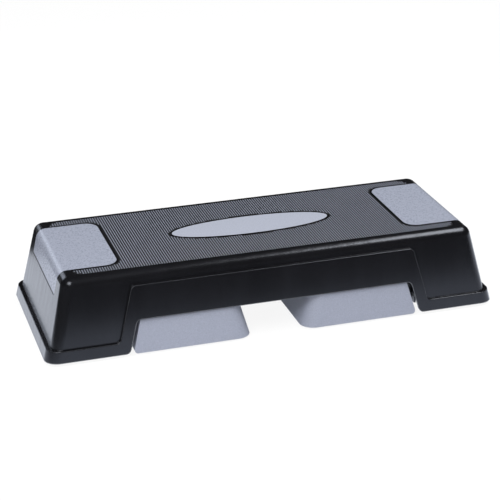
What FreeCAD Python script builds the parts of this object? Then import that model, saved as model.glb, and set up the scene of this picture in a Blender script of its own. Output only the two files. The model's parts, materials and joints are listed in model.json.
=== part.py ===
import FreeCAD, Part
import Sketcher
import os

# Step platform with two legs that swing out from under the deck.
# Frame: +X along the platform, +Y to its back, +Z up, the floor at zero, the origin under the middle.
# Sizes are in millimetres, angles in degrees.
SIZES = {
    # platform shell
    "length": 680,
    "width": 272.3,
    "deck_height": 122,
    "side_draft": 6.9,
    "end_draft": 13.2,
    "wall": 3.2,
    "end_wall": 6,
    "deck_plate": 5.5,
    "corner_radius": 16,
    "top_edge_radius": 14.5,
    # raised band round the feet and along the sides of the deck
    "side_ledge": 4.7,
    "end_ledge": 6.5,
    "ledge_radius": 1.2,
    "foot_band_height": 17.25,
    "deck_band_drop": 18.2,
    "band_width": 18.3,
    "band_corner": 8,
    # bay under the deck, between the two feet
    "bay_half_length": 219.7,
    "bay_height": 48.4,
    "bay_draft": 15,
    "bay_corner": 8,
    "foot_corner": 8.5,
    # ribs under the deck and in the feet
    "rib_thickness": 3,
    "rib_clearance": 5,
    "inner_rib_place": 45,
    "outer_rib_inset": 34,
    "outer_rib_setback": 23.4,
    "cross_rib_spacing": 75,
    # tread mat, let into the top
    "mat_end_margin": 18.5,
    "mat_side_margin": 15,
    "mat_thickness": 2,
    "mat_corner": 12,
    "lip": 3.2,
    # oval plate in the middle of the top
    "badge_half_length": 120.7,
    "badge_half_width": 32.8,
    "badge_thickness": 2,
    # pads over the two ends of the top
    "end_pad_length": 87.1,
    "end_pad_side_margin": 35,
    "end_pad_drop": 36.5,
    "end_pad_thickness": 2.5,
    "end_pad_corner": 20,
    "end_pad_low_corner": 6,
    # legs
    "leg_inner_reach": 38.5,
    "leg_hinge_gap": 2.6,
    "leg_side_inset": 1.5,
    "leg_side_draft": 10,
    "leg_rim_drop": 0.5,
    "leg_top_gap": 1.2,
    "leg_wall": 2.8,
    "leg_sole": 3.2,
    "leg_inner_corner": 22,
    "leg_heel_radius": 5,
    "leg_sole_radius": 3,
    "leg_rib_thickness": 2.4,
    "leg_long_rib_place": 43,
    "leg_cross_rib_spacing": 60,
    # hinge of each leg
    "hinge_gap": 2.6,
    "hinge_drop": 1,
    "rod_radius": 2,
    "rod_clearance": 0.05,
    "knuckle_floor_gap": 0.3,
    "knuckle_length": 16,
    "knuckle_root": 10,
    "knuckle_gap": 0.6,
    "lug_place": 72,
    "lug_length": 12,
    "lug_clearance": 0.7,
    "hinge_wall_setback": 4.4,
    "hinge_wall_margin": 24,
    "cap_step": 0.2,
    "cap_length": 5,
    "cap_bore_depth": 3.5,
    "cap_gap": 0.2,
    # rubber pads under the feet and on the soles of the legs
    "floor_pad_height": 5,
    "floor_pad_radius": 10,
    "floor_pad_stem_radius": 4.5,
    "floor_pad_stem_length": 8,
    "pad_edge_radius": 1,
    "boss_margin": 1,
    "boss_height": 12,
    "leg_pad_height": 3,
    "leg_pad_radius": 9,
    "leg_pad_stem_radius": 4,
    "leg_pad_stem_length": 3,
    "leg_pad_end_inset": 36,
    "leg_pad_side_inset": 44,
    # how far a cutting shape runs past what it cuts
    "overrun": 6,
}

doc = FreeCAD.newDocument("step_platform")
sheet = doc.addObject("Spreadsheet::Sheet", "dims")
for row, (alias, number) in enumerate(SIZES.items(), start=1):
    sheet.set(f"A{row}", str(number))
    sheet.setAlias(f"A{row}", alias)
doc.recompute()

# Heights and places that follow from the driving sizes, as rules for the sheet.
SIDE_LEAN = "tan(dims.side_draft)"
END_LEAN = "tan(dims.end_draft)"
BAY_LEAN = "tan(dims.bay_draft)"
LEG_SIDE_LEAN = "tan(dims.leg_side_draft)"
RIM = "dims.floor_pad_height"
TOP = "dims.deck_height"
HALF_LENGTH = "(dims.length / 2)"
HALF_WIDTH = "(dims.width / 2)"
TOP_HALF_LENGTH = f"({HALF_LENGTH} - dims.end_ledge - {END_LEAN} * ({TOP} - {RIM}))"
TOP_HALF_WIDTH = f"({HALF_WIDTH} - dims.side_ledge - {SIDE_LEAN} * ({TOP} - {RIM}))"
FOOT_BAND_TOP = f"({RIM} + dims.foot_band_height)"
DECK_BAND_TOP = f"({TOP} - dims.deck_band_drop)"
BAY_TOP = f"({RIM} + dims.bay_height)"
MAT_HALF_LENGTH = f"({TOP_HALF_LENGTH} - dims.mat_end_margin)"
MAT_HALF_WIDTH = f"({TOP_HALF_WIDTH} - dims.mat_side_margin)"
END_PAD_REACH = f"({TOP_HALF_LENGTH} - dims.end_pad_length)"
END_PAD_HALF_WIDTH = f"({TOP_HALF_WIDTH} - dims.end_pad_side_margin)"
END_PAD_LOW = f"({TOP} - dims.end_pad_drop)"
HINGE_REACH = "(dims.bay_half_length - dims.hinge_gap)"
HINGE_HEIGHT = f"({RIM} - dims.hinge_drop)"
LEG_RIM = f"({HINGE_HEIGHT} - dims.leg_rim_drop)"
LEG_TOP = f"({BAY_TOP} - dims.leg_top_gap)"
LEG_OUTER_REACH = f"({HINGE_REACH} - dims.leg_hinge_gap)"
LEG_PAD_PLACES = {
    "inner": "(dims.leg_inner_reach + dims.leg_pad_end_inset)",
    "outer": f"({LEG_OUTER_REACH} - dims.leg_pad_end_inset)",
}
LEG_PAD_SIDE = f"({HALF_WIDTH} - dims.leg_pad_side_inset)"
DECK_RIB_LOW = f"({LEG_TOP} + dims.leg_pad_height + dims.rib_clearance)"
OUTER_RIB_PLACE = f"({HALF_WIDTH} - dims.outer_rib_inset)"
OUTER_RIB_START = "(dims.bay_half_length + dims.outer_rib_setback)"
FOOT_LENGTH = f"({HALF_LENGTH} - dims.bay_half_length)"
BOSS_RADIUS = "(dims.floor_pad_radius + dims.boss_margin)"
HINGE_WALL = "(dims.bay_half_length + dims.hinge_wall_setback)"
KNUCKLE_RADIUS = f"({HINGE_HEIGHT} - dims.knuckle_floor_gap)"
KNUCKLE_TOP = f"({HINGE_HEIGHT} + {KNUCKLE_RADIUS})"
LUG_NEAR = "(dims.lug_place - dims.lug_length / 2)"
LUG_FAR = "(dims.lug_place + dims.lug_length / 2)"
HINGE_WALL_HALF_WIDTH = f"({LUG_FAR} + dims.hinge_wall_margin)"
KNUCKLE_FAR = f"({LUG_NEAR} - dims.knuckle_gap)"
CAP_RADIUS = f"({KNUCKLE_RADIUS} - dims.cap_step)"
CAP_NEAR = f"({LUG_FAR} + dims.cap_gap)"
ROD_END = f"({CAP_NEAR} + dims.cap_bore_depth)"
ROD_SPAN = (f"-{ROD_END}", ROD_END)
ROD_BORE = "dims.rod_radius + dims.rod_clearance"
ENDS = {-1: "left", 1: "right"}
SIDES = {-1: "front", 1: "back"}

# Places of the floor pads along a foot, as shares of its length from its inner side.
FLOOR_PAD_SHARES = {"inner": 0.25, "outer": 0.76}

# Places of the cross ribs, in spacings from the middle.
CROSS_RIB_STEPS = (-2, -1, 0, 1, 2)
LEG_CROSS_RIB_STEPS = (1, 2)

# How near an edge must be to a place to be taken for the edge there.
PICK_SHARE = 1e-6
PICK = PICK_SHARE * SIZES["length"]


def value(rule):
    """The number that a rule gives with the present sizes."""
    return float(sheet.evalExpression(rule))


def bind(thing, rules):
    """Tie properties of an object to rules in the sheet's sizes."""
    for name, rule in rules.items():
        thing.setExpression(name, rule)
    return thing


def span(side, near, far):
    """A span on one side of the middle, lowest rule first."""
    if side > 0:
        return (near, far)
    return (f"-({far})", f"-({near})")


def around(place, thickness):
    """A span of a given thickness about a place."""
    return (f"{place} - {thickness} / 2", f"{place} + {thickness} / 2")


def box(name, x, y, z):
    """A box between a low and a high rule along each axis."""
    block = doc.addObject("Part::Box", name)
    rules = {}
    for axis, extent, (low, high) in zip("xyz", ("Length", "Width", "Height"), (x, y, z)):
        rules[f"Placement.Base.{axis}"] = low
        rules[extent] = f"{high} - ({low})"
    return bind(block, rules)


def across(name, radius, x, y):
    """A round bar along Y, at the height of the hinges, between a low and a high rule."""
    bar = doc.addObject("Part::Cylinder", name)
    bar.Placement.Rotation = FreeCAD.Rotation(FreeCAD.Vector(1, 0, 0), -90)
    low, high = y
    return bind(bar, {
        "Radius": radius, "Height": f"{high} - ({low})",
        "Placement.Base.x": x, "Placement.Base.y": low, "Placement.Base.z": HINGE_HEIGHT,
    })


def upright(name, radius, spot, z):
    """A round bar along Z at an XY spot, between a low and a high rule."""
    bar = doc.addObject("Part::Cylinder", name)
    low, high = z
    return bind(bar, {
        "Radius": radius, "Height": f"{high} - ({low})",
        "Placement.Base.x": spot[0], "Placement.Base.y": spot[1], "Placement.Base.z": low,
    })


def fuse(name, pieces):
    joined = doc.addObject("Part::MultiFuse", name)
    joined.Shapes = pieces
    return joined


def common(name, pieces):
    shared = doc.addObject("Part::MultiCommon", name)
    shared.Shapes = pieces
    return shared


def cut(name, base, tools):
    """A piece less one tool or several."""
    less = doc.addObject("Part::Cut", name)
    less.Base = base
    less.Tool = tools[0] if len(tools) == 1 else fuse(f"{name}_tools", tools)
    return less


def mirrored(name, source):
    """The same piece at the platform's other end."""
    twin = doc.addObject("Part::Mirroring", name)
    twin.Source = source
    twin.Normal = FreeCAD.Vector(1, 0, 0)
    return twin


def round_edges(body, base, wanted, radius):
    """Round those edges of a body's last feature that the test picks."""
    base.recompute(True)
    edges = [f"Edge{i}" for i, edge in enumerate(base.Shape.Edges, start=1) if wanted(edge)]
    rounded = body.newObject("PartDesign::Fillet", f"{body.Name}_round")
    rounded.Base = (base, edges)
    rounded.setExpression("Radius", radius)
    return rounded


def is_upright(edge):
    extent = edge.BoundBox
    return extent.ZLength > max(extent.XLength, extent.YLength)


def lies_at_height(rule):
    """A test for edges that lie wholly at one height."""
    height = value(rule)
    return lambda edge: all(abs(corner.Z - height) < PICK for corner in edge.Vertexes)


def stands_at(spots):
    """A test for edges along Y that stand at one of the given XZ spots."""
    places = [(value(x), value(z)) for x, z in spots]

    def test(edge):
        extent = edge.BoundBox
        middle = extent.Center
        along = extent.YLength > max(extent.XLength, extent.ZLength)
        return along and any(abs(middle.x - x) < PICK and abs(middle.z - z) < PICK for x, z in places)
    return test


def drafted_block(name, x, half_width, z, end_lean, side_lean):
    """A block whose ends and sides lean in; its footprint holds at the bottom."""
    body = doc.addObject("PartDesign::Body", name)
    wedge = body.newObject("PartDesign::AdditiveWedge", f"{name}_wedge")
    wedge.Placement.Rotation = FreeCAD.Rotation(FreeCAD.Vector(1, 0, 0), 90)
    x_low, x_high = x
    bottom, top = z
    ends_in = f"{end_lean} * ({top} - ({bottom}))"
    sides_in = f"{side_lean} * ({top} - ({bottom}))"
    bind(wedge, {
        "Ymin": bottom, "Ymax": top,
        "Xmin": x_low, "Xmax": x_high,
        "X2min": f"{x_low} + {ends_in}", "X2max": f"{x_high} - {ends_in}",
        "Zmin": f"-({half_width})", "Zmax": half_width,
        "Z2min": f"-({half_width}) + {sides_in}", "Z2max": f"{half_width} - {sides_in}",
    })
    return body, wedge


def shell_form(name, end_inset, side_inset, top_inset, radius_inset):
    """The platform's leaning walls and rounded top, drawn in by the given insets."""
    half_length = f"({HALF_LENGTH} - dims.end_ledge - {end_inset})"
    half_width = f"({HALF_WIDTH} - dims.side_ledge - {side_inset})"
    top = f"({TOP} - {top_inset})"
    body, wedge = drafted_block(name, (f"-{half_length}", half_length), half_width, (RIM, top),
                                END_LEAN, SIDE_LEAN)
    corners = round_edges(body, wedge, is_upright, f"dims.corner_radius - {radius_inset}")
    round_edges(body, corners, lies_at_height(top), f"dims.top_edge_radius - {radius_inset}")
    return body


def outline_block(name, points, rounded):
    """A straight-sided outline in the XZ plane, made a block right across the platform.

    Each entry of rounded is a list of corners and the radius that they get.
    """
    body = doc.addObject("PartDesign::Body", name)
    sketch = body.newObject("Sketcher::SketchObject", f"{name}_outline")
    plane = next(part for part in body.Origin.OriginFeatures if part.Role == "XZ_Plane")
    sketch.AttachmentSupport = [(plane, "")]
    sketch.MapMode = "FlatFace"
    corners = [FreeCAD.Vector(value(x), value(z), 0) for x, z in points]
    for start, end in zip(corners, corners[1:] + corners[:1]):
        sketch.addGeometry(Part.LineSegment(start, end))
    for i, (x, z) in enumerate(points):
        before = (i - 1) % len(points)
        sketch.addConstraint(Sketcher.Constraint("Coincident", before, 2, i, 1))
        for axis, rule, place in (("X", x, corners[i].x), ("Y", z, corners[i].y)):
            limit = sketch.addConstraint(Sketcher.Constraint(f"Distance{axis}", -1, 1, i, 1, place))
            sketch.renameConstraint(limit, f"{axis.lower()}_{i}")
            sketch.setExpression(f"Constraints.{axis.lower()}_{i}", rule)
    pad = body.newObject("PartDesign::Pad", f"{name}_pad")
    pad.Profile = sketch
    pad.SideType = "Symmetric"
    pad.setExpression("Length", "dims.width + 2 * dims.overrun")
    last = pad
    for spots, radius in rounded:
        last = round_edges(body, last, stands_at(spots), radius)
    return body


def both_ends(points):
    """Points given for the +X half, followed by their mirror images in the other half."""
    return points + [(f"-({x})", z) for x, z in reversed(points)]


def band_form(name, inset):
    """The raised band, drawn in by an inset: a strip round each foot and along the deck."""
    half_length = f"({HALF_LENGTH} - {inset})"
    half_width = f"({HALF_WIDTH} - {inset})"
    high = f"({DECK_BAND_TOP} - {inset})"
    low = f"({FOOT_BAND_TOP} - {inset})"
    body, wedge = drafted_block(f"{name}_block", (f"-{half_length}", half_length), half_width, (RIM, high),
                                END_LEAN, SIDE_LEAN)
    round_edges(body, wedge, is_upright, f"dims.corner_radius + dims.side_ledge - {inset}")
    side = f"(dims.bay_half_length + dims.band_width - {inset} - {BAY_LEAN} * "
    low_spot = (f"{side}({low} - {RIM}))", low)
    high_spot = (f"{side}({high} - {RIM}))", high)
    far = f"{HALF_LENGTH} + dims.overrun"
    below = f"{RIM} - dims.overrun"
    profile = outline_block(
        f"{name}_profile", both_ends([(far, below), (far, low), low_spot, high_spot]),
        [(both_ends([low_spot, high_spot]), "dims.band_corner")])
    return common(name, [body, profile])


def round_ledges(band):
    """The band with its upper outer edges rounded: those that clear the rim and don't run through."""
    band.recompute(True)
    rim = value(RIM) + PICK
    through = value(HALF_WIDTH)
    end_reach = value("dims.bay_half_length + dims.band_width")
    radius = value("dims.ledge_radius")
    edges = []
    for i, edge in enumerate(band.Shape.Edges, start=1):
        extent = edge.BoundBox
        at_end = abs(extent.Center.x) > end_reach
        if extent.ZMin > rim and (at_end or extent.YLength < through):
            edges.append((i, radius, radius))
    rounded = doc.addObject("Part::Fillet", f"{band.Name}_rounded")
    rounded.Base = band
    rounded.Edges = edges
    return rounded


def bay_cutter():
    """The space under the deck, with the corners of the feet and of the deck rounded."""
    foot = ("dims.bay_half_length", RIM)
    head = (f"dims.bay_half_length - {BAY_LEAN} * ({BAY_TOP} - {RIM})", BAY_TOP)
    far = f"{HALF_LENGTH} + dims.overrun"
    return outline_block(
        "bay", both_ends([(far, f"{RIM} - dims.overrun"), (far, RIM), foot, head]),
        [(both_ends([foot]), "dims.foot_corner"), (both_ends([head]), "dims.bay_corner")])


def end_pad_block(name, grow):
    """The outline of the right end pad as a block, grown by a margin."""
    body = doc.addObject("PartDesign::Body", name)
    block = body.newObject("PartDesign::AdditiveBox", f"{name}_box")
    low_x = f"({END_PAD_REACH} - {grow})"
    half_width = f"({END_PAD_HALF_WIDTH} + {grow})"
    low_z = f"({END_PAD_LOW} - {grow})"
    bind(block, {
        "Placement.Base.x": low_x, "Length": f"{HALF_LENGTH} + dims.overrun - {low_x}",
        "Placement.Base.y": f"-{half_width}", "Width": f"2 * {half_width}",
        "Placement.Base.z": low_z, "Height": f"{TOP} + dims.overrun - {low_z}",
    })
    inner = value(low_x)
    corners = round_edges(
        body, block, lambda edge: is_upright(edge) and abs(edge.BoundBox.Center.x - inner) < PICK,
        f"dims.end_pad_corner + {grow}")
    at_foot = lies_at_height(low_z)
    round_edges(
        body, corners, lambda edge: at_foot(edge) and edge.BoundBox.YLength < PICK,
        f"dims.end_pad_low_corner + {grow}")
    return body


def end_pads(outside):
    """The right and the left end pad, each as thick as its seat is deep."""
    depth = "dims.end_pad_thickness"
    seat = shell_form("end_pad_seat", depth, depth, depth, depth)
    skin = common("end_pad_skin", [end_pad_block("end_pad_block", "0"), outside])
    right = cut("right_end_pad", skin, [seat])
    return [right, mirrored("left_end_pad", right)]


def oval(name, grow):
    """The oval of the middle plate, grown by a margin and standing up to the top."""
    curve = doc.addObject("Part::Ellipse", f"{name}_curve")
    bind(curve, {
        "MajorRadius": f"dims.badge_half_length + {grow}",
        "MinorRadius": f"dims.badge_half_width + {grow}",
        "Placement.Base.z": f"{TOP} - dims.badge_thickness",
    })
    plate = doc.addObject("Part::Extrusion", name)
    plate.Base = curve
    plate.DirMode = "Custom"
    plate.Dir = FreeCAD.Vector(0, 0, 1)
    plate.Solid = True
    plate.setExpression("LengthFwd", "dims.badge_thickness")
    return plate


def tread_mat():
    """The mat, with room for the end pads, the oval plate and the lips round them."""
    body = doc.addObject("PartDesign::Body", "mat_blank")
    sheet_of_mat = body.newObject("PartDesign::AdditiveBox", "mat_blank_box")
    bind(sheet_of_mat, {
        "Placement.Base.x": f"-{MAT_HALF_LENGTH}", "Length": f"2 * {MAT_HALF_LENGTH}",
        "Placement.Base.y": f"-{MAT_HALF_WIDTH}", "Width": f"2 * {MAT_HALF_WIDTH}",
        "Placement.Base.z": f"{TOP} - dims.mat_thickness", "Height": "dims.mat_thickness",
    })
    round_edges(body, sheet_of_mat, is_upright_of_sheet, "dims.mat_corner")
    room = end_pad_block("end_pad_room", "dims.lip")
    rooms = [room, mirrored("end_pad_room_left", room), oval("badge_room", "dims.lip")]
    return cut("tread_mat", body, rooms)


def is_upright_of_sheet(edge):
    extent = edge.BoundBox
    return max(extent.XLength, extent.YLength) < PICK


def ribs():
    """The ribs under the deck and in the feet, ending half way into the walls."""
    thickness = "dims.rib_thickness"
    deck_span = (DECK_RIB_LOW, f"{TOP} - dims.deck_plate / 2")
    foot_span = (RIM, deck_span[1])
    foot_end = f"{HALF_LENGTH} - dims.end_ledge"
    wall_far = f"{HINGE_WALL} + {thickness}"
    plates = []
    for side, tag in SIDES.items():
        inner = around(f"{side} * dims.inner_rib_place", thickness)
        outer = around(f"{side} * {OUTER_RIB_PLACE}", thickness)
        plates.append(box(f"deck_rib_{tag}", (f"-({wall_far})", wall_far), inner, deck_span))
        for end, hand in ENDS.items():
            long_reach = span(end, HINGE_WALL, foot_end)
            short_reach = span(end, OUTER_RIB_START, foot_end)
            plates.append(box(f"foot_rib_{hand}_{tag}", long_reach, inner, foot_span))
            plates.append(box(f"side_rib_{hand}_{tag}", short_reach, outer, foot_span))
    wall_width = (f"-{HINGE_WALL_HALF_WIDTH}", HINGE_WALL_HALF_WIDTH)
    for end, hand in ENDS.items():
        reach = span(end, HINGE_WALL, wall_far)
        plates.append(box(f"hinge_wall_{hand}", reach, wall_width, foot_span))
    for step in CROSS_RIB_STEPS:
        place = around(f"{step} * dims.cross_rib_spacing", thickness)
        tag = CROSS_RIB_STEPS.index(step)
        plates.append(box(f"cross_rib_{tag}", place, (f"-{HALF_WIDTH}", HALF_WIDTH), deck_span))
    wall_middle = shell_form("wall_middle", "dims.end_wall / 2", "dims.wall / 2", "dims.deck_plate / 4",
                             "dims.wall / 2")
    return common("ribs", [fuse("rib_plates", plates), wall_middle])


def hinge_lugs():
    """The two lugs on each hinge wall, with their bores for the rod still closed."""
    root_height = (RIM, KNUCKLE_TOP)
    pieces = []
    for end, hand in ENDS.items():
        axis_x = f"{end} * {HINGE_REACH}"
        root = span(end, HINGE_REACH, f"{HINGE_WALL} + dims.rib_thickness / 2")
        for side, tag in SIDES.items():
            width = span(side, LUG_NEAR, LUG_FAR)
            pieces.append(across(f"lug_{hand}_{tag}", KNUCKLE_RADIUS, axis_x, width))
            pieces.append(box(f"lug_root_{hand}_{tag}", root, width, root_height))
    return pieces


def floor_pad_spots():
    """Name and place of each floor pad."""
    for end, hand in ENDS.items():
        for side, tag in SIDES.items():
            for where, share in FLOOR_PAD_SHARES.items():
                place = f"(dims.bay_half_length + {share} * {FOOT_LENGTH})"
                yield f"{hand}_{tag}_{where}", (f"{end} * {place}", f"{side} * {OUTER_RIB_PLACE}")


def platform_shell(outside, inside, inlays):
    """The shell: hollow, ribbed, open under the deck, with seats for everything that it carries."""
    skin = cut("skin", outside, [inside])
    open_skin = cut("open_skin", skin, [bay_cutter()])
    boss_height = (RIM, f"{RIM} + dims.boss_height")
    stem_height = (RIM, f"{RIM} + dims.floor_pad_stem_length")
    bosses = []
    sockets = []
    for tag, spot in floor_pad_spots():
        bosses.append(upright(f"boss_{tag}", BOSS_RADIUS, spot, boss_height))
        sockets.append(upright(f"socket_{tag}", "dims.floor_pad_stem_radius", spot, stem_height))
    bores = []
    for end, hand in ENDS.items():
        bores.append(across(f"lug_bore_{hand}", ROD_BORE, f"{end} * {HINGE_REACH}", ROD_SPAN))
    whole = fuse("ribbed_shell", [open_skin, ribs(), *bosses, *hinge_lugs()])
    return cut("platform_shell", whole, [*inlays, *sockets, *bores])


def leg_form(name, inset, sole_inset):
    """The leaning block of the right leg, drawn in by its wall and its sole."""
    x_low = f"(dims.leg_inner_reach + {inset})"
    x_high = f"({LEG_OUTER_REACH} - {inset})"
    half_width = f"({HALF_WIDTH} - dims.leg_side_inset - {inset})"
    top = f"({LEG_TOP} - {sole_inset})"
    body, wedge = drafted_block(name, (x_low, x_high), half_width, (LEG_RIM, top), BAY_LEAN, LEG_SIDE_LEAN)
    middle = value(f"({x_low} + {x_high}) / 2")
    inner = round_edges(
        body, wedge, lambda edge: is_upright(edge) and edge.BoundBox.Center.x < middle,
        f"dims.leg_inner_corner - {inset}")
    return body, inner, top


def round_heel(body, last, inset):
    """The form of the leg with its lower outer edge rounded, where it turns beside the foot."""
    edge = (f"{LEG_OUTER_REACH} - {inset}", LEG_RIM)
    return round_edges(body, last, stands_at([edge]), f"dims.leg_heel_radius - {inset}")


def leg_pad_spots():
    """Name and place of each pad on the sole of the right leg."""
    for side, tag in SIDES.items():
        for where in ("inner", "outer"):
            yield f"{tag}_{where}", (LEG_PAD_PLACES[where], f"{side} * {LEG_PAD_SIDE}")


def leg_ribs(limit):
    """The ribs in the right leg's tray, flush with its rim and sunk half way into its sole."""
    thickness = "dims.leg_rib_thickness"
    height = (LEG_RIM, f"{LEG_TOP} - dims.leg_sole / 2")
    reach = ("dims.leg_inner_reach", LEG_OUTER_REACH)
    plates = []
    for side, tag in SIDES.items():
        place = around(f"{side} * dims.leg_long_rib_place", thickness)
        plates.append(box(f"leg_long_rib_{tag}", reach, place, height))
    for step in LEG_CROSS_RIB_STEPS:
        place = around(f"({LEG_OUTER_REACH} - {step} * dims.leg_cross_rib_spacing)", thickness)
        plates.append(box(f"leg_cross_rib_{step}", place, (f"-{HALF_WIDTH}", HALF_WIDTH), height))
    return common("leg_ribs", [fuse("leg_rib_plates", plates), limit])


def right_leg():
    """A tray with its mouth down and its sole up under the deck, hinged at its outer edge."""
    outside, last, top = leg_form("leg_outside", "0", "0")
    heel = round_heel(outside, last, "0")
    round_edges(outside, heel, lies_at_height(top), "dims.leg_sole_radius")
    inside, _, _ = leg_form("leg_inside", "dims.leg_wall", "dims.leg_sole")
    middle, last, _ = leg_form("leg_middle", "dims.leg_wall / 2", "dims.leg_sole / 4")
    round_heel(middle, last, "dims.leg_wall / 2")
    tray = cut("leg_tray", outside, [inside])

    notch_near = f"{LUG_NEAR} - dims.knuckle_gap / 2"
    notch_far = f"{CAP_NEAR} + dims.cap_length + dims.lug_clearance"
    notch_radius = f"{KNUCKLE_RADIUS} + dims.lug_clearance"
    root = (f"{HINGE_REACH} - dims.knuckle_root", HINGE_REACH)
    root_height = (LEG_RIM, KNUCKLE_TOP)
    notches = []
    knuckles = []
    bores = []
    for side, tag in SIDES.items():
        width = span(side, f"{KNUCKLE_FAR} - dims.knuckle_length", KNUCKLE_FAR)
        notches.append(across(f"leg_notch_{tag}", notch_radius, HINGE_REACH,
                              span(side, notch_near, notch_far)))
        knuckles.append(across(f"knuckle_{tag}", KNUCKLE_RADIUS, HINGE_REACH, width))
        knuckles.append(box(f"knuckle_root_{tag}", root, width, root_height))
        bores.append(across(f"knuckle_bore_{tag}", ROD_BORE, HINGE_REACH, width))
    stem_height = (f"{LEG_TOP} - dims.leg_pad_stem_length", LEG_TOP)
    sockets = [upright(f"leg_socket_{tag}", "dims.leg_pad_stem_radius", spot, stem_height)
               for tag, spot in leg_pad_spots()]
    notched = cut("leg_notched", fuse("leg_ribbed", [tray, leg_ribs(middle)]), notches)
    return cut("right_leg", fuse("leg_hinged", [notched, *knuckles]), [*bores, *sockets])


def rubber_pad(name, kind, spot, z, turned):
    """A pad on a stem; its sole is at the bottom, or at the top where the pad is turned over."""
    body = doc.addObject("PartDesign::Body", name)
    disc = body.newObject("PartDesign::AdditiveCylinder", f"{name}_disc")
    bind(disc, {"Radius": f"dims.{kind}_radius", "Height": f"dims.{kind}_height"})
    round_edges(body, disc, lies_at_height("0"), "dims.pad_edge_radius")
    stem = body.newObject("PartDesign::AdditiveCylinder", f"{name}_stem")
    bind(stem, {
        "Radius": f"dims.{kind}_stem_radius",
        "Height": f"dims.{kind}_height + dims.{kind}_stem_length",
    })
    body.Placement.Rotation = FreeCAD.Rotation(FreeCAD.Vector(1, 0, 0), 180 if turned else 0)
    return bind(body, {"Placement.Base.x": spot[0], "Placement.Base.y": spot[1], "Placement.Base.z": z})


def rod_cap(name, end, side):
    """A push-on cap with a blind bore over the rod's end."""
    axis_x = f"{end} * {HINGE_REACH}"
    blank = across(f"{name}_blank", CAP_RADIUS, axis_x,
                   span(side, CAP_NEAR, f"{CAP_NEAR} + dims.cap_length"))
    bore = across(f"{name}_bore", "dims.rod_radius", axis_x, span(side, CAP_NEAR, ROD_END))
    return cut(name, blank, [bore])


# Platform body.
wall_outside = shell_form("wall_outside", "0", "0", "0", "0")
wall_inside = shell_form("wall_inside", "dims.end_wall", "dims.wall", "dims.deck_plate", "dims.wall")
band_outside = round_ledges(band_form("band_outside", "0"))
outside = fuse("outside", [wall_outside, band_outside])
inside = fuse("inside", [wall_inside, band_form("band_inside", "dims.wall")])
mat = tread_mat()
badge = oval("badge_plate", "0")
pads = end_pads(wall_outside)
shell = platform_shell(outside, inside, [mat, badge, *pads])
nodes = [shell, mat, badge, *pads]

# Hinge rods and their caps.
for end, hand in ENDS.items():
    nodes.append(across(f"{hand}_hinge_rod", "dims.rod_radius", f"{end} * {HINGE_REACH}", ROD_SPAN))
    for side, tag in SIDES.items():
        nodes.append(rod_cap(f"{hand}_rod_cap_{tag}", end, side))

# Legs.
leg = right_leg()
nodes += [leg, mirrored("left_leg", leg)]

# Rubber pads under the feet, and on the soles of the legs.
for tag, spot in floor_pad_spots():
    nodes.append(rubber_pad(f"floor_pad_{tag}", "floor_pad", spot, "0", False))
for end, hand in ENDS.items():
    for tag, (x, y) in leg_pad_spots():
        nodes.append(rubber_pad(f"{hand}_leg_pad_{tag}", "leg_pad", (f"{end} * {x}", y),
                                f"{LEG_TOP} + dims.leg_pad_height", True))

doc.recompute()

# Every object must have been built before anything is written.
failed = [thing.Label for thing in doc.Objects if {"Invalid", "Error"} & set(thing.State)]
unsound = [node.Label for node in nodes if node.Shape.isNull() or not node.Shape.isValid()]
if failed or unsound:
    raise RuntimeError(f"not built: {failed}, not sound: {unsound}")

os.makedirs("parts", exist_ok=True)
for node in nodes:
    node.Shape.exportStep(f"parts/{node.Label}.step")
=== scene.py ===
import json
import math

import bpy
from mathutils import Matrix, Vector


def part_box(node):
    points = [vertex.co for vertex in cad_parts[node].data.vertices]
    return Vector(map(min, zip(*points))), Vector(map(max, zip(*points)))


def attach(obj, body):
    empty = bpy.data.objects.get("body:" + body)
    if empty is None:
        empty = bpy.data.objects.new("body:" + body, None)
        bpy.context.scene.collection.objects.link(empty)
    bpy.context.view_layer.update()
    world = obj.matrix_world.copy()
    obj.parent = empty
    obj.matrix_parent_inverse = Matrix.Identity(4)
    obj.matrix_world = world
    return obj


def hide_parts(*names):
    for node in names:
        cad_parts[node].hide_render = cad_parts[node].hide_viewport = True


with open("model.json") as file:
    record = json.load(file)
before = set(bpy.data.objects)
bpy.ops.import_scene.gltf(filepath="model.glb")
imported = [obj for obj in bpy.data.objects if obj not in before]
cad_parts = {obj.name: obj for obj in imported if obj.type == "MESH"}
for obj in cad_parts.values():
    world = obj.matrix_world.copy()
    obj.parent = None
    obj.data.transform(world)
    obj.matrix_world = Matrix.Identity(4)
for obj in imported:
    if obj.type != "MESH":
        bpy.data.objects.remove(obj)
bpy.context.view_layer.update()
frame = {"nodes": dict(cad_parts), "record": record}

# Lengths are in metres, colours are linear, and a pattern's scale is in cells per metre.
MM = 0.001
WHITE = (1.0, 1.0, 1.0, 1.0)

# Camera, as the photograph was taken: the angles in degrees, the lens and its sensor in millimetres.
CAMERA_PLACE = Vector((-0.6436, -2.1308, 1.0187))
CAMERA_TURN = 16.78
CAMERA_DROP = 22.86
CAMERA_ROLL = 0.72
CAMERA_LENS = 115.72
SENSOR_WIDTH = 36.0

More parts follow.
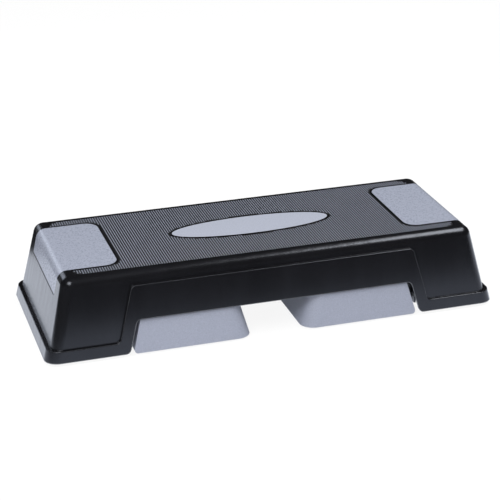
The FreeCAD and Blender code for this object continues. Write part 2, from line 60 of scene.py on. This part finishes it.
# Tread: small blunt blocks in an even grid, their tops level with the top of the deck. Each goes a
# little way into the mat. The slack keeps the outermost rows, which lie right at the margin.
BUMP_PITCH_ALONG = 3.64 * MM
BUMP_PITCH_ACROSS = 3.64 * MM
BUMP_LENGTH = 1.5 * MM
BUMP_WIDTH = 3.1 * MM
BUMP_HEIGHT = 0.9 * MM
BUMP_TOP_SHARE = 0.75
BUMP_SINK = 0.05 * MM
BUMP_EDGE_MARGIN = 2.8 * MM
MARGIN_SLACK = 0.98
RIM_ANGLE = math.radians(60.0)
WELD_GAP = 0.001 * MM
# The tread's colour runs from painted shade at the feet of the bumps to a painted highlight on their tops.
TREAD_SHADE_AND_HIGHLIGHT_COLOURS = ((0.010, 0.010, 0.012), (0.343, 0.369, 0.456))
TREAD_HIGHLIGHT_RISE = (0.2, 1.0)
TREAD_ROUGHNESS = (0.42, 0.58)
TREAD_GRAIN_SCALE = 900.0
TREAD_GRAIN_DEPTH = 0.08 * MM
TREAD_GRAIN_STRENGTH = 0.3

# Black plastic: its edges are eased, and a painted highlight makes them paler from some way below the top of
# the deck. Its upright draw marks are a pattern that is stretched along the height.
EASED_EDGE = 0.9 * MM
EASED_SAMPLES = 6
EDGE_HIGHLIGHT_REACH = 1.5 * MM
EDGE_HIGHLIGHT_SAMPLES = 8
EDGE_HIGHLIGHT_DEPTH = (0.6, 0.85)
EDGE_HIGHLIGHT_SLOPE = (-0.1, 0.05)
EDGE_HIGHLIGHT_BELOW = 10.0 * MM
EDGE_HIGHLIGHT_FADE = 1.0 * MM
# The paler colour of the outward edges is a painted highlight.
EDGE_HIGHLIGHT_COLOUR = (0.24, 0.25, 0.275)
BLACK_COLOURS = ((0.005, 0.005, 0.006), (0.008, 0.008, 0.010))
BLACK_CLOUD_SCALE = 9.0
BLACK_CLOUD_DETAIL = 4.0
BLACK_ROUGHNESS = (0.23, 0.27)
BLACK_GRAIN_SCALE = 1600.0
BLACK_GRAIN_DEPTH = 0.05 * MM
BLACK_GRAIN_STRENGTH = 0.12
BLACK_SPECULAR = 0.66
BLACK_SPECULAR_TINT = (0.86, 0.90, 1.0, 1.0)
DRAW_STRETCH = (1.0, 1.0, 0.03)
DRAW_SCALE = 60.0
DRAW_DETAIL = 3.0
DRAW_DEPTH = 0.6 * MM
DRAW_STRENGTH = 0.6
COAT_WEIGHT = (0.0, 0.9)
COAT_FACING = (0.5, 0.8)
COAT_ROUGHNESS = 0.18

# Grey plastic: three tints and grains of it, and the seam at the lower edge of the end pads, darkened with
# painted shade.
GREY_INLAY = {"name": "grey inlay", "colours": ((0.345, 0.375, 0.465), (0.435, 0.465, 0.565)),
              "roughness": 0.29, "grain_scale": 480.0, "grain_depth": 0.035 * MM}
GREY_BADGE = {"name": "badge grey", "colours": ((0.42, 0.45, 0.54), (0.54, 0.57, 0.67)),
              "roughness": 0.38, "grain_scale": 500.0, "grain_depth": 0.04 * MM}
GREY_LEG = {"name": "grey leg plastic", "colours": ((0.30, 0.325, 0.41), (0.37, 0.395, 0.49)),
            "roughness": 0.55, "grain_scale": 600.0, "grain_depth": 0.08 * MM}
GREY_ROUGHNESS_SWING = 0.05
GREY_GRAIN_DETAIL = 3.0
GREY_GRAIN_STRENGTH = 0.35
GREY_SPECULAR = 0.7
SEAM_RISE = (1.5 * MM, 2.2 * MM)
# The seam's dark colour is painted shade in the joint between pad and wall.
SEAM_SHADE_COLOUR = (0.01, 0.01, 0.012)

# Zinc steel: its drawn lines are a pattern that is stretched along the rod.
ZINC_COLOURS = ((0.46, 0.47, 0.48), (0.62, 0.63, 0.64))
ZINC_ROUGHNESS = (0.24, 0.36)
ZINC_STRETCH = (1.0, 0.02, 1.0)
ZINC_LINE_SCALE = 3000.0
ZINC_LINE_DEPTH = 0.03 * MM
ZINC_LINE_STRENGTH = 0.2

# Foot rubber.
FOOT_COLOURS = ((0.014, 0.014, 0.014), (0.030, 0.030, 0.030))
FOOT_ROUGHNESS = (0.68, 0.86)
FOOT_GRAIN_SCALE = 700.0
FOOT_GRAIN_DETAIL = 4.0
FOOT_GRAIN_DEPTH = 0.1 * MM
FOOT_GRAIN_STRENGTH = 0.4

# Studio: a floor that the camera sees as clear film, the white sheet on it that gloss mirrors, a room
# that is white low down and dark overhead, and the lamps, their power in watts.
CAMERA_RAYS = ["Is Camera Ray"]
MIRROR_RAYS = ["Is Glossy Ray", "Is Transmission Ray"]
FLOOR_RADIUS = 12.0
FLOOR_SIDES = 64
FLOOR_COLOUR = (0.8, 0.8, 0.8, 1.0)
FLOOR_SEEN_COLOUR = (0.15, 0.15, 0.15, 1.0)
FLOOR_FILM_COLOUR = (0.90, 0.90, 0.90, 1.0)
SHEET_FRONT = -0.36
SHEET_BACK = (0.34, 0.36)
SHEET_LEFT = -0.56
SHEET_BLUR = 0.04
SHEET_DARK = 0.02
SHEET_COLOUR = (0.84, 0.89, 1.0, 1.0)
ROOM_LIGHT = 0.45
BACKDROP_RISE = (-0.05, 0.04)
BACKDROP_LIGHT = 1.0
CEILING_LIGHT = 0.015
SOFTBOXES = (
    {"name": "right box", "place": (1.1, -0.25, 1.95), "aim": (0.0, 0.0, 0.1), "size": (1.4, 0.6),
     "power": 20.0},
    {"name": "left box", "place": (-0.95, -1.1, 1.5), "aim": (0.0, 0.0, 0.1), "size": (0.9, 0.9),
     "power": 17.0},
    {"name": "back left box", "place": (-0.85, 1.35, 0.74), "aim": (-0.3, 0.0, 0.1), "size": (0.6, 0.6),
     "power": 2.1, "colour": (0.80, 0.87, 1.0)},
    {"name": "front fill", "place": (-0.5, -2.6, 0.9), "aim": (0.0, 0.0, 0.05), "size": (1.6, 1.0),
     "power": 8.5, "mirrored": False},
)

# Where a Mix node keeps its two colours and its result.
MIX_BASE, MIX_OTHER, MIX_RESULT = 6, 7, 2


def fill(tree, node, inputs):
    """Fill a node's inputs: one that is given a socket is linked, any other is set."""
    for key, value in inputs.items():
        if isinstance(value, bpy.types.NodeSocket):
            tree.links.new(value, node.inputs[key])
        else:
            node.inputs[key].default_value = value


def add(tree, kind, settings=None, inputs=None):
    """A new node with its settings and inputs."""
    node = tree.nodes.new(kind)
    for name, value in (settings or {}).items():
        setattr(node, name, value)
    fill(tree, node, inputs or {})
    return node


def sums(tree, operation, first, second):
    """The result of a sum."""
    return add(tree, "ShaderNodeMath", {"operation": operation}, {0: first, 1: second}).outputs[0]


def triple(tree, x, y, z):
    """A vector from its three parts."""
    return add(tree, "ShaderNodeCombineXYZ", inputs={"X": x, "Y": y, "Z": z}).outputs[0]


def parts(tree, vector):
    """The three parts of a vector."""
    return add(tree, "ShaderNodeSeparateXYZ", inputs={"Vector": vector}).outputs


def noise(tree, coordinates, scale, detail=2.0):
    """A noise pattern."""
    return add(tree, "ShaderNodeTexNoise",
               inputs={"Vector": coordinates, "Scale": scale, "Detail": detail}).outputs["Fac"]


def stretched(tree, coordinates, stretch):
    """Coordinates that are scaled along each axis."""
    return add(tree, "ShaderNodeMapping", inputs={"Vector": coordinates, "Scale": stretch}).outputs["Vector"]


def blend_colours(tree, share, colours, start=0.3, end=0.7):
    """A colour that runs from the first to the second as a share goes from start to end."""
    ramp = add(tree, "ShaderNodeValToRGB", inputs={"Fac": share})
    for stop, place, colour in zip(ramp.color_ramp.elements, (start, end), colours):
        stop.position = place
        stop.color = (*colour, 1.0)
    return ramp.outputs["Color"]


def mix_colours(tree, share, base, other):
    """A base colour that turns into another as a share goes from zero to one."""
    mixed = add(tree, "ShaderNodeMix", {"data_type": "RGBA"},
                {"Factor": share, MIX_BASE: base, MIX_OTHER: (*other, 1.0)})
    return mixed.outputs[MIX_RESULT]


def spread(tree, share, low, high, start=0.3, end=0.7):
    """A number that runs from low to high as a share goes from start to end."""
    return add(tree, "ShaderNodeMapRange", inputs={
        "Value": share, "From Min": start, "From Max": end, "To Min": low, "To Max": high}).outputs["Result"]


def bump(tree, height, depth, strength, normal=None):
    """The slope of a surface with a pattern in it, on top of another slope where one is given."""
    made = add(tree, "ShaderNodeBump", inputs={"Height": height, "Distance": depth, "Strength": strength})
    if normal:
        tree.links.new(normal, made.inputs["Normal"])
    return made.outputs["Normal"]


def new_finish(name):
    """A material with its node tree, its shader and the object's own coordinates."""
    material = bpy.data.materials.new(name)
    material.use_nodes = True
    tree = material.node_tree
    tree.nodes.clear()
    shader = add(tree, "ShaderNodeBsdfPrincipled")
    add(tree, "ShaderNodeOutputMaterial", inputs={"Surface": shader.outputs["BSDF"]})
    coordinates = add(tree, "ShaderNodeTexCoord").outputs["Object"]
    return material, tree, shader, coordinates


def painted_edge_highlight(tree, place, eased):
    """How much painted highlight a point gets: one at the sides' outward edges that don't face down, zero
    elsewhere.
    """
    _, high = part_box("platform_shell")
    depth = add(tree, "ShaderNodeAmbientOcclusion",
                {"inside": True, "only_local": True, "samples": EDGE_HIGHLIGHT_SAMPLES},
                {"Distance": EDGE_HIGHLIGHT_REACH}).outputs["AO"]
    start = high.z - EDGE_HIGHLIGHT_BELOW
    at_edge = spread(tree, depth, 1.0, 0.0, *EDGE_HIGHLIGHT_DEPTH)
    faces_up = spread(tree, parts(tree, eased)["Z"], 0.0, 1.0, *EDGE_HIGHLIGHT_SLOPE)
    is_low = spread(tree, parts(tree, place)["Z"], 1.0, 0.0, start - EDGE_HIGHLIGHT_FADE, start)
    return sums(tree, "MULTIPLY", sums(tree, "MULTIPLY", at_edge, faces_up), is_low)


def black_plastic():
    """Satin black moulding: upright draw marks, a gloss that rises at a glancing angle, a painted highlight
    on its edges.
    """
    material, tree, shader, place = new_finish("black plastic")
    marks = noise(tree, stretched(tree, place, DRAW_STRETCH), DRAW_SCALE, DRAW_DETAIL)
    clouds = noise(tree, place, BLACK_CLOUD_SCALE, BLACK_CLOUD_DETAIL)
    grain = noise(tree, place, BLACK_GRAIN_SCALE)
    glance = add(tree, "ShaderNodeLayerWeight").outputs["Facing"]
    eased = add(tree, "ShaderNodeBevel", {"samples": EASED_SAMPLES}, {"Radius": EASED_EDGE}).outputs["Normal"]
    black = blend_colours(tree, clouds, BLACK_COLOURS)
    drawn_face = bump(tree, marks, DRAW_DEPTH, DRAW_STRENGTH, eased)
    fill(tree, shader, {
        # Base colour: black, paler at the outward edges that don't face down, a painted highlight.
        "Base Color": mix_colours(tree, painted_edge_highlight(tree, place, eased), black, EDGE_HIGHLIGHT_COLOUR),
        "Roughness": spread(tree, marks, *BLACK_ROUGHNESS),
        "Normal": bump(tree, grain, BLACK_GRAIN_DEPTH, BLACK_GRAIN_STRENGTH, drawn_face),
        "Coat Normal": drawn_face,
        "Coat Weight": spread(tree, glance, *COAT_WEIGHT, *COAT_FACING),
        "Coat Roughness": COAT_ROUGHNESS,
        "Specular IOR Level": BLACK_SPECULAR,
        "Specular Tint": BLACK_SPECULAR_TINT,
    })
    return material


def tread_rubber(top):
    """Dark grey tread, near black at the feet of its bumps and paler on their tops: painted shade and painted
    highlight.
    """
    material, tree, shader, place = new_finish("tread rubber")
    rise = spread(tree, parts(tree, place)["Z"], 0.0, 1.0, top - BUMP_HEIGHT, top)
    grain = noise(tree, place, TREAD_GRAIN_SCALE)
    fill(tree, shader, {
        # Painted shade at the bumps' feet, painted highlight on their tops.
        "Base Color": blend_colours(tree, rise, TREAD_SHADE_AND_HIGHLIGHT_COLOURS, *TREAD_HIGHLIGHT_RISE),
        "Roughness": spread(tree, grain, *TREAD_ROUGHNESS),
        "Normal": bump(tree, grain, TREAD_GRAIN_DEPTH, TREAD_GRAIN_STRENGTH),
    })
    return material


def grey_plastic(name, colours, roughness, grain_scale, grain_depth, seam=None):
    """Blue-grey moulding with a fine spark-eroded grain, darkened with painted shade and dull in a seam at
    its lower edge.
    """
    material, tree, shader, place = new_finish(name)
    grain = noise(tree, place, grain_scale, GREY_GRAIN_DETAIL)
    colour = blend_colours(tree, grain, colours)
    dullness = spread(tree, grain, roughness - GREY_ROUGHNESS_SWING, roughness + GREY_ROUGHNESS_SWING)
    if seam:
        in_shaded_seam = spread(tree, parts(tree, place)["Z"], 1.0, 0.0, *seam)
        # Painted shade in the seam at the pads' lower edge.
        colour = mix_colours(tree, in_shaded_seam, colour, SEAM_SHADE_COLOUR)
        dullness = sums(tree, "MAXIMUM", dullness, in_shaded_seam)
    fill(tree, shader, {
        "Base Color": colour,
        "Roughness": dullness,
        "Normal": bump(tree, grain, grain_depth, GREY_GRAIN_STRENGTH),
        "Specular IOR Level": GREY_SPECULAR,
    })
    return material


def zinc_steel():
    """Bright zinc plate with fine lines drawn along the rod."""
    material, tree, shader, place = new_finish("zinc steel")
    lines = noise(tree, stretched(tree, place, ZINC_STRETCH), ZINC_LINE_SCALE)
    fill(tree, shader, {
        "Base Color": blend_colours(tree, lines, ZINC_COLOURS),
        "Roughness": spread(tree, lines, *ZINC_ROUGHNESS),
        "Normal": bump(tree, lines, ZINC_LINE_DEPTH, ZINC_LINE_STRENGTH),
        "Metallic": 1.0,
    })
    return material


def foot_rubber():
    """Dull black rubber."""
    material, tree, shader, place = new_finish("foot rubber")
    grain = noise(tree, place, FOOT_GRAIN_SCALE, FOOT_GRAIN_DETAIL)
    fill(tree, shader, {
        "Base Color": blend_colours(tree, grain, FOOT_COLOURS),
        "Roughness": spread(tree, grain, *FOOT_ROUGHNESS),
        "Normal": bump(tree, grain, FOOT_GRAIN_DEPTH, FOOT_GRAIN_STRENGTH),
    })
    return material


def tread_inputs(tree):
    faces = tree.interface
    faces.new_socket("Geometry", in_out="INPUT", socket_type="NodeSocketGeometry")
    for name in ("Pitch Along", "Pitch Across", "Half Length", "Half Width", "Top", "Bump Length",
                 "Bump Width", "Bump Height", "Bump Sink", "Top Share", "Edge Margin"):
        faces.new_socket(name, in_out="INPUT", socket_type="NodeSocketFloat")
    faces.new_socket("Material", in_out="INPUT", socket_type="NodeSocketMaterial")
    faces.new_socket("Geometry", in_out="OUTPUT", socket_type="NodeSocketGeometry")
    return add(tree, "NodeGroupInput").outputs


def grid_of_places(tree, given):
    """Places at the height of the bumps' tops, with whole steps between the mat's margins."""
    size = {}
    for axis, half, pitch in (("X", "Half Length", "Pitch Along"), ("Y", "Half Width", "Pitch Across")):
        reach = sums(tree, "MULTIPLY", sums(tree, "SUBTRACT", given[half], given["Edge Margin"]), 2.0)
        steps = sums(tree, "ROUND", sums(tree, "DIVIDE", reach, given[pitch]), 0.0)
        size["Size " + axis] = reach
        size["Vertices " + axis] = sums(tree, "ADD", steps, 1.0)
    grid = add(tree, "GeometryNodeMeshGrid", inputs=size).outputs["Mesh"]
    return add(tree, "GeometryNodeTransform", inputs={
        "Geometry": grid, "Translation": triple(tree, 0.0, 0.0, given["Top"])}).outputs[0]


def over_mat(tree, given):
    """Whether a place has the mat under it."""
    here = add(tree, "GeometryNodeInputPosition").outputs[0]
    above = add(tree, "ShaderNodeVectorMath", {"operation": "ADD"},
                {0: here, 1: triple(tree, 0.0, 0.0, given["Bump Height"])}).outputs[0]
    return add(tree, "GeometryNodeRaycast", inputs={
        "Target Geometry": given["Geometry"], "Source Position": above, "Ray Direction": (0.0, 0.0, -1.0),
        "Ray Length": sums(tree, "MULTIPLY", given["Bump Height"], 2.0)}).outputs["Is Hit"]


def clear_of_rim(tree, given):
    """Whether a place keeps the margin to the mat's edges."""
    corner_angle = add(tree, "GeometryNodeInputMeshEdgeAngle").outputs["Unsigned Angle"]
    is_rim = add(tree, "FunctionNodeCompare", {"operation": "GREATER_THAN"},
                 {0: corner_angle, 1: RIM_ANGLE}).outputs[0]
    rim = add(tree, "GeometryNodeSeparateGeometry", {"domain": "EDGE"},
              {"Geometry": given["Geometry"], "Selection": is_rim}).outputs["Selection"]
    to_rim = add(tree, "GeometryNodeProximity", {"target_element": "EDGES"}, {0: rim}).outputs["Distance"]
    margin = sums(tree, "MULTIPLY", given["Edge Margin"], MARGIN_SLACK)
    return add(tree, "FunctionNodeCompare", {"operation": "GREATER_THAN"}, {0: to_rim, 1: margin}).outputs[0]


def one_bump(tree, given):
    """A blunt four-sided pyramid that hangs from its place, its sides square to the mat's."""
    depth = sums(tree, "ADD", given["Bump Height"], given["Bump Sink"])
    half_diagonal = math.sqrt(0.5)
    blank = add(tree, "GeometryNodeMeshCone", {"fill_type": "NGON"}, {
        "Vertices": 4, "Radius Top": sums(tree, "MULTIPLY", given["Top Share"], half_diagonal),
        "Radius Bottom": half_diagonal, "Depth": depth}).outputs["Mesh"]
    turned = add(tree, "GeometryNodeTransform", inputs={
        "Geometry": blank, "Rotation": (0.0, 0.0, math.radians(45.0))}).outputs[0]
    return add(tree, "GeometryNodeTransform", inputs={
        "Geometry": turned, "Translation": triple(tree, 0.0, 0.0, sums(tree, "MULTIPLY", depth, -1.0)),
        "Scale": triple(tree, given["Bump Length"], given["Bump Width"], 1.0)}).outputs[0]


def lowered_mat(tree, given):
    """The mat itself, its top lowered to the foot of the bumps."""
    here = add(tree, "GeometryNodeInputPosition").outputs[0]
    foot = sums(tree, "SUBTRACT", given["Top"], given["Bump Height"])
    is_top = add(tree, "FunctionNodeCompare", {"operation": "GREATER_THAN"},
                 {0: parts(tree, here)["Z"], 1: foot}).outputs[0]
    drop = sums(tree, "MULTIPLY", given["Bump Height"], -1.0)
    return add(tree, "GeometryNodeSetPosition", inputs={
        "Geometry": given["Geometry"], "Selection": is_top,
        "Offset": triple(tree, 0.0, 0.0, drop)}).outputs[0]


def tread_tree():
    """Geometry Nodes: bumps in even rows wherever the mat is, standing on the lowered mat."""
    tree = bpy.data.node_groups.new("tread bumps", "GeometryNodeTree")
    given = tread_inputs(tree)
    places = grid_of_places(tree, given)
    kept = add(tree, "FunctionNodeBooleanMath", {"operation": "AND"},
               {0: over_mat(tree, given), 1: clear_of_rim(tree, given)}).outputs[0]
    spots = add(tree, "GeometryNodeSeparateGeometry", {"domain": "POINT"},
                {"Geometry": places, "Selection": kept}).outputs["Selection"]
    bumps = add(tree, "GeometryNodeInstanceOnPoints",
                inputs={"Points": spots, "Instance": one_bump(tree, given)}).outputs["Instances"]
    whole = add(tree, "GeometryNodeJoinGeometry", inputs={"Geometry": lowered_mat(tree, given)})
    tree.links.new(bumps, whole.inputs["Geometry"])
    real = add(tree, "GeometryNodeRealizeInstances", inputs={"Geometry": whole.outputs[0]}).outputs[0]
    dressed = add(tree, "GeometryNodeSetMaterial",
                  inputs={"Geometry": real, "Material": given["Material"]}).outputs[0]
    add(tree, "NodeGroupOutput", inputs={"Geometry": dressed})
    return tree


def make_plain(piece):
    """Turn what the modifiers make of a piece into its plain mesh."""
    graph = bpy.context.evaluated_depsgraph_get()
    mesh = bpy.data.meshes.new_from_object(piece.evaluated_get(graph))
    piece.modifiers.clear()
    piece.data = mesh


def merged_copy(node, name):
    """A new object with a copy of a CAD node's mesh, its loose triangles joined."""
    mesh = frame["nodes"][node].data.copy()
    piece = bpy.data.objects.new(name, mesh)
    bpy.context.scene.collection.objects.link(piece)
    weld = piece.modifiers.new("weld", "WELD")
    weld.merge_threshold = WELD_GAP
    make_plain(piece)
    return piece


def set_inputs(modifier, values):
    """Set a Geometry Nodes modifier's inputs, found by name and set by identifier."""
    for socket in modifier.node_group.interface.items_tree:
        if socket.in_out == "INPUT" and socket.name in values:
            modifier[socket.identifier] = values[socket.name]


def tread():
    """The tread mat with its bumps, in place of the plain mat."""
    _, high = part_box("tread_mat")
    rubber = tread_rubber(high.z)
    piece = merged_copy("tread_mat", "tread")
    piece.data.materials.clear()
    modifier = piece.modifiers.new("tread bumps", "NODES")
    modifier.node_group = tread_tree()
    set_inputs(modifier, {
        "Pitch Along": BUMP_PITCH_ALONG, "Pitch Across": BUMP_PITCH_ACROSS,
        "Half Length": high.x, "Half Width": high.y, "Top": high.z,
        "Bump Length": BUMP_LENGTH, "Bump Width": BUMP_WIDTH, "Bump Height": BUMP_HEIGHT,
        "Bump Sink": BUMP_SINK, "Top Share": BUMP_TOP_SHARE, "Edge Margin": BUMP_EDGE_MARGIN,
        "Material": rubber,
    })
    make_plain(piece)
    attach(piece, "platform")
    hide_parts("tread_mat")


def dress_frame():
    """Give each CAD node the finish of its slot."""
    low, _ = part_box("left_end_pad")
    seam = [low.z + rise for rise in SEAM_RISE]
    finishes = {
        "grey_inlay": grey_plastic(**GREY_INLAY, seam=seam), "grey_leg_plastic": grey_plastic(**GREY_LEG),
        "black_plastic": black_plastic(), "zinc_steel": zinc_steel(), "foot_rubber": foot_rubber(),
    }
    badge = grey_plastic(**GREY_BADGE)
    for part in frame["record"]["subparts"]:
        finish = finishes.get(part["material_slot"])
        if finish is None:
            continue
        mesh = frame["nodes"][part["node"]].data
        mesh.materials.clear()
        mesh.materials.append(badge if part["node"] == "badge_plate" else finish)


def camera():
    """The photograph's camera."""
    turn, drop, roll = (math.radians(angle) for angle in (CAMERA_TURN, CAMERA_DROP, CAMERA_ROLL))
    forward = Vector((math.sin(turn) * math.cos(drop), math.cos(turn) * math.cos(drop), -math.sin(drop)))
    level = Vector((math.cos(turn), -math.sin(turn), 0.0))
    down = forward.cross(level)
    right = math.cos(roll) * level + math.sin(roll) * down
    up = math.sin(roll) * level - math.cos(roll) * down
    data = bpy.data.cameras.new("camera")
    data.lens = CAMERA_LENS
    data.sensor_width = SENSOR_WIDTH
    eye = bpy.data.objects.new("camera", data)
    bpy.context.scene.collection.objects.link(eye)
    turned = Matrix((right, up, -forward)).transposed().to_4x4()
    eye.matrix_world = Matrix.Translation(CAMERA_PLACE) @ turned
    bpy.context.scene.camera = eye


def ray_share(tree, kinds):
    """One for rays of any of the kinds, and zero for all others."""
    path = add(tree, "ShaderNodeLightPath").outputs
    total = path[kinds[0]]
    for kind in kinds[1:]:
        total = sums(tree, "MAXIMUM", total, path[kind])
    return total


def mix_by_ray(tree, kinds, others, seen):
    """One shader for rays of the given kinds, and another for all others."""
    return add(tree, "ShaderNodeMixShader",
               inputs={"Fac": ray_share(tree, kinds), 1: others, 2: seen}).outputs[0]


def sheet_light(tree):
    """How bright the floor is in a mirror: white on the sheet, and nearly black beside it."""
    place = parts(tree, add(tree, "ShaderNodeTexCoord").outputs["Object"])
    light = spread(tree, place["Y"], 1.0, SHEET_DARK, *SHEET_BACK)
    for axis, edge in (("X", SHEET_LEFT), ("Y", SHEET_FRONT)):
        inside = spread(tree, place[axis], SHEET_DARK, 1.0, edge - SHEET_BLUR, edge + SHEET_BLUR)
        light = sums(tree, "MINIMUM", light, inside)
    return light


def floor_finish():
    """Clear film over white for the camera, a white sheet for mirrors, and plain matt for the rest."""
    material = bpy.data.materials.new("white floor")
    material.use_nodes = True
    tree = material.node_tree
    tree.nodes.clear()
    matt = add(tree, "ShaderNodeBsdfDiffuse", inputs={"Color": FLOOR_COLOUR}).outputs[0]
    seen_matt = add(tree, "ShaderNodeBsdfDiffuse", inputs={"Color": FLOOR_SEEN_COLOUR}).outputs[0]
    film = add(tree, "ShaderNodeBsdfTransparent", inputs={"Color": FLOOR_FILM_COLOUR}).outputs[0]
    seen = add(tree, "ShaderNodeAddShader", inputs={0: seen_matt, 1: film}).outputs[0]
    sheet = add(tree, "ShaderNodeEmission",
                inputs={"Color": SHEET_COLOUR, "Strength": sheet_light(tree)}).outputs[0]
    plain = mix_by_ray(tree, CAMERA_RAYS, matt, seen)
    add(tree, "ShaderNodeOutputMaterial", inputs={"Surface": mix_by_ray(tree, MIRROR_RAYS, plain, sheet)})
    return material


def floor():
    """A wide pale floor that keeps the shadow and lets the camera see legs that are swung below it."""
    bpy.ops.mesh.primitive_circle_add(vertices=FLOOR_SIDES, radius=FLOOR_RADIUS, fill_type="NGON")
    ground = bpy.context.object
    ground.name = "floor"
    ground.data.materials.append(floor_finish())


def surroundings():
    """A soft grey room that the camera sees as white, and mirrors as white low down and dark overhead."""
    world = bpy.data.worlds.new("studio")
    bpy.context.scene.world = world
    world.use_nodes = True
    tree = world.node_tree
    tree.nodes.clear()
    way = add(tree, "ShaderNodeTexCoord").outputs["Generated"]
    mirrored = spread(tree, parts(tree, way)["Z"], BACKDROP_LIGHT, CEILING_LIGHT, *BACKDROP_RISE)
    room, backdrop, background = (
        add(tree, "ShaderNodeBackground", inputs={"Color": WHITE, "Strength": strength}).outputs[0]
        for strength in (ROOM_LIGHT, mirrored, BACKDROP_LIGHT))
    lit = mix_by_ray(tree, MIRROR_RAYS, room, backdrop)
    add(tree, "ShaderNodeOutputWorld", inputs={"Surface": mix_by_ray(tree, CAMERA_RAYS, lit, background)})


def softbox(name, place, aim, size, power, mirrored=True, colour=(1.0, 1.0, 1.0)):
    """An area lamp at a place, turned to an aim."""
    data = bpy.data.lights.new(name, "AREA")
    data.shape = "RECTANGLE"
    data.size, data.size_y = size
    data.energy = power
    data.color = colour
    lamp = bpy.data.objects.new(name, data)
    bpy.context.scene.collection.objects.link(lamp)
    place = Vector(place)
    lamp.location = place
    lamp.rotation_mode = "QUATERNION"
    lamp.rotation_quaternion = (Vector(aim) - place).to_track_quat("-Z", "Y")
    lamp.visible_camera = False
    lamp.visible_glossy = mirrored


dress_frame()
tread()
floor()
surroundings()
for box in SOFTBOXES:
    softbox(**box)
camera()

scene = bpy.context.scene
scene.view_settings.view_transform = "Standard"
